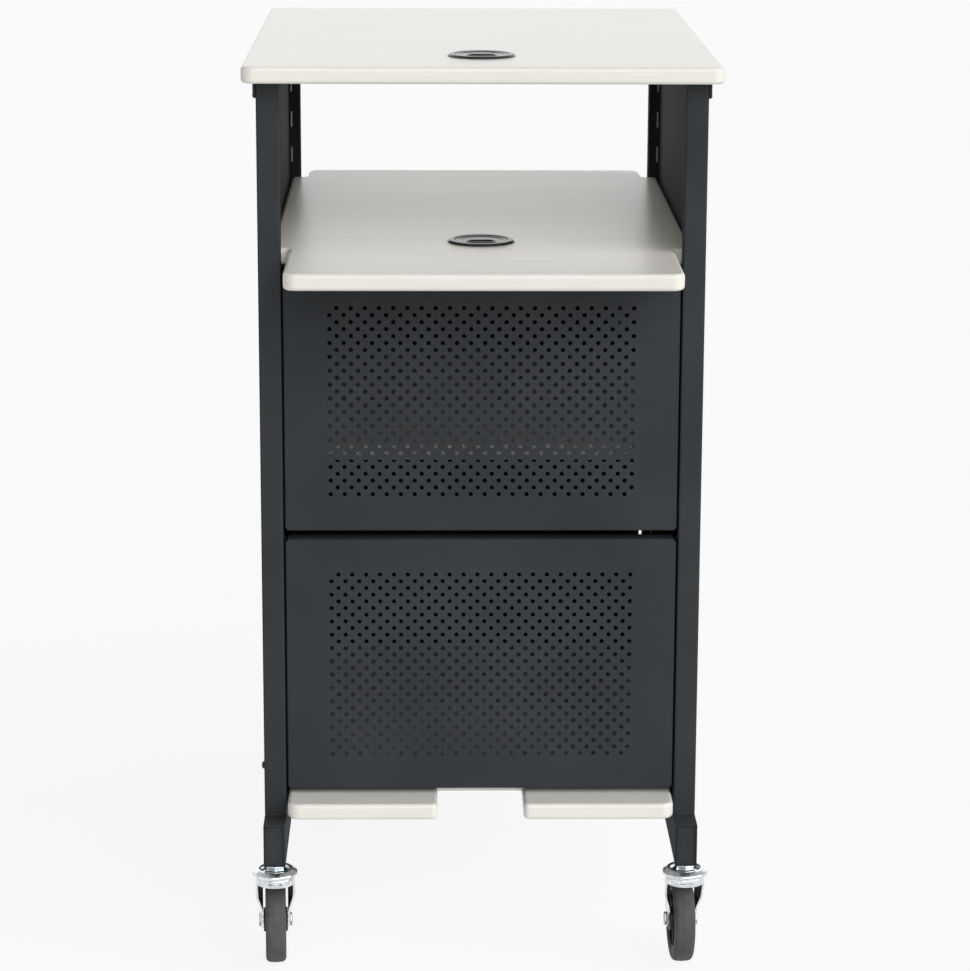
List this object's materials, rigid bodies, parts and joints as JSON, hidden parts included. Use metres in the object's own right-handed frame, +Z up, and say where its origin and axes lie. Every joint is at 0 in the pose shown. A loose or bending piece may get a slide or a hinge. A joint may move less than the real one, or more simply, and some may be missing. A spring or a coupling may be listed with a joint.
{
  "type": "audio visual cart",
  "caption": "Tall rolling cart for projectors and media gear: laminate boards in a dark steel frame, perforated panels on the cable side, a locking door behind, swivel casters.",
  "frame": {"origin": "on the floor, at the middle of the whole cart's footprint", "axes": "+Z up, +X across the cart to its right as seen from the perforated cable side, +Y from the cable side to the door side"},
  "size_m": [0.533, 0.8834, 1.063],
  "materials": {
    "charcoal_coat": "fine satin powder coat",
    "pale_laminate": "matt laminate with a faint straight grain, rounded edges",
    "black_plastic": "satin moulded plastic",
    "zinc_plate": "bright zinc plate",
    "grey_rubber": "matt grey-brown rubber",
    "dark_hub": "moulded plastic",
    "steel_pin": "plain turned steel",
    "black_screw": "blackened steel"
  },
  "bodies": {
    "frame": {"top_board": "pale_laminate", "middle_shelf": "pale_laminate", "inner_shelf": "pale_laminate", "lower_shelf": "pale_laminate", "front_left_column": "charcoal_coat", "front_right_column": "charcoal_coat", "rear_left_column": "charcoal_coat", "rear_right_column": "charcoal_coat", "left_base_runner": "charcoal_coat", "right_base_runner": "charcoal_coat", "left_top_rail": "charcoal_coat", "right_top_rail": "charcoal_coat", "left_side_panel": "charcoal_coat", "right_side_panel": "charcoal_coat", "front_cross_member": "charcoal_coat", "rear_cross_member": "charcoal_coat", "middle_shelf_left_bracket": "charcoal_coat", "middle_shelf_right_bracket": "charcoal_coat", "inner_shelf_left_bracket": "charcoal_coat", "inner_shelf_right_bracket": "charcoal_coat", "lower_vent_panel": "charcoal_coat", "upper_vent_panel": "charcoal_coat", "lower_hinge_frame_leaf": "zinc_plate", "lower_hinge_pin": "steel_pin", "upper_hinge_frame_leaf": "zinc_plate", "upper_hinge_pin": "steel_pin", "top_grommet_ring": "black_plastic", "shelf_grommet_ring": "black_plastic", "side_screw": "black_screw", "front_left_caster_stem": "zinc_plate", "front_right_caster_stem": "zinc_plate", "rear_left_caster_stem": "zinc_plate", "rear_right_caster_stem": "zinc_plate"},
    "door": {"cabinet_door": "charcoal_coat", "door_pull": "black_plastic", "lower_hinge_door_leaf": "zinc_plate", "upper_hinge_door_leaf": "zinc_plate", "lock_barrel": "zinc_plate"},
    "lock": {"lock_plug": "steel_pin"},
    "top_cap": {"top_grommet_cap": "black_plastic"},
    "shelf_cap": {"shelf_grommet_cap": "black_plastic"},
    "front_left_fork": {"front_left_caster_fork": "zinc_plate", "front_left_caster_axle": "steel_pin"},
    "front_right_fork": {"front_right_caster_fork": "zinc_plate", "front_right_caster_axle": "steel_pin"},
    "rear_left_fork": {"rear_left_caster_fork": "zinc_plate", "rear_left_caster_axle": "steel_pin"},
    "rear_right_fork": {"rear_right_caster_fork": "zinc_plate", "rear_right_caster_axle": "steel_pin"},
    "front_left_wheel": {"front_left_caster_hub": "dark_hub", "front_left_caster_tyre": "grey_rubber"},
    "front_right_wheel": {"front_right_caster_hub": "dark_hub", "front_right_caster_tyre": "grey_rubber"},
    "rear_left_wheel": {"rear_left_caster_hub": "dark_hub", "rear_left_caster_tyre": "grey_rubber"},
    "rear_right_wheel": {"rear_right_caster_hub": "dark_hub", "rear_right_caster_tyre": "grey_rubber"},
    "rear_left_brake": {"rear_left_caster_brake_pedal": "black_plastic"},
    "rear_right_brake": {"rear_right_caster_brake_pedal": "black_plastic"}
  },
  "joints": [
    {"name": "door_hinge", "type": "hinge", "parent": "frame", "child": "door", "pos_m": [-0.2256, 0.3325, 0.5195], "axis": [0, 0, 1], "range_deg": [0, 180]},
    {"name": "lock_turn", "type": "hinge", "parent": "door", "child": "lock", "pos_m": [0.192, 0.3275, 0.6895], "axis": [0, -1, 0], "range_deg": [0, 90]},
    {"name": "top_cap_turn", "type": "hinge", "parent": "frame", "child": "top_cap", "pos_m": [0, -0.2227, 1.06], "axis": [0, 0, 1], "continuous": true},
    {"name": "shelf_cap_turn", "type": "hinge", "parent": "frame", "child": "shelf_cap", "pos_m": [0, -0.2227, 0.848], "axis": [0, 0, 1], "continuous": true},
    {"name": "front_left_swivel", "type": "hinge", "parent": "frame", "child": "front_left_fork", "pos_m": [-0.2393, -0.3237, 0.1184], "axis": [0, 0, 1], "continuous": true},
    {"name": "front_right_swivel", "type": "hinge", "parent": "frame", "child": "front_right_fork", "pos_m": [0.2393, -0.3237, 0.1184], "axis": [0, 0, 1], "continuous": true},
    {"name": "rear_left_swivel", "type": "hinge", "parent": "frame", "child": "rear_left_fork", "pos_m": [-0.2393, 0.3537, 0.1184], "axis": [0, 0, 1], "continuous": true},
    {"name": "rear_right_swivel", "type": "hinge", "parent": "frame", "child": "rear_right_fork", "pos_m": [0.2393, 0.3537, 0.1184], "axis": [0, 0, 1], "continuous": true},
    {"name": "front_left_spin", "type": "hinge", "parent": "front_left_fork", "child": "front_left_wheel", "pos_m": [-0.24087, -0.29374, 0.0508], "axis": [0.9986, 0.0523, 0], "continuous": true},
    {"name": "front_right_spin", "type": "hinge", "parent": "front_right_fork", "child": "front_right_wheel", "pos_m": [0.23773, -0.29374, 0.0508], "axis": [0.9986, 0.0523, 0], "continuous": true},
    {"name": "rear_left_spin", "type": "hinge", "parent": "rear_left_fork", "child": "rear_left_wheel", "pos_m": [-0.2393, 0.3837, 0.0508], "axis": [1, 0, 0], "continuous": true},
    {"name": "rear_right_spin", "type": "hinge", "parent": "rear_right_fork", "child": "rear_right_wheel", "pos_m": [0.2393, 0.3837, 0.0508], "axis": [1, 0, 0], "continuous": true},
    {"name": "rear_left_brake_press", "type": "hinge", "parent": "rear_left_fork", "child": "rear_left_brake", "pos_m": [-0.2393, 0.4157, 0.1], "axis": [-1, 0, 0], "range_deg": [0, 30]},
    {"name": "rear_right_brake_press", "type": "hinge", "parent": "rear_right_fork", "child": "rear_right_brake", "pos_m": [0.2393, 0.4157, 0.1], "axis": [-1, 0, 0], "range_deg": [0, 30]}
  ]
}
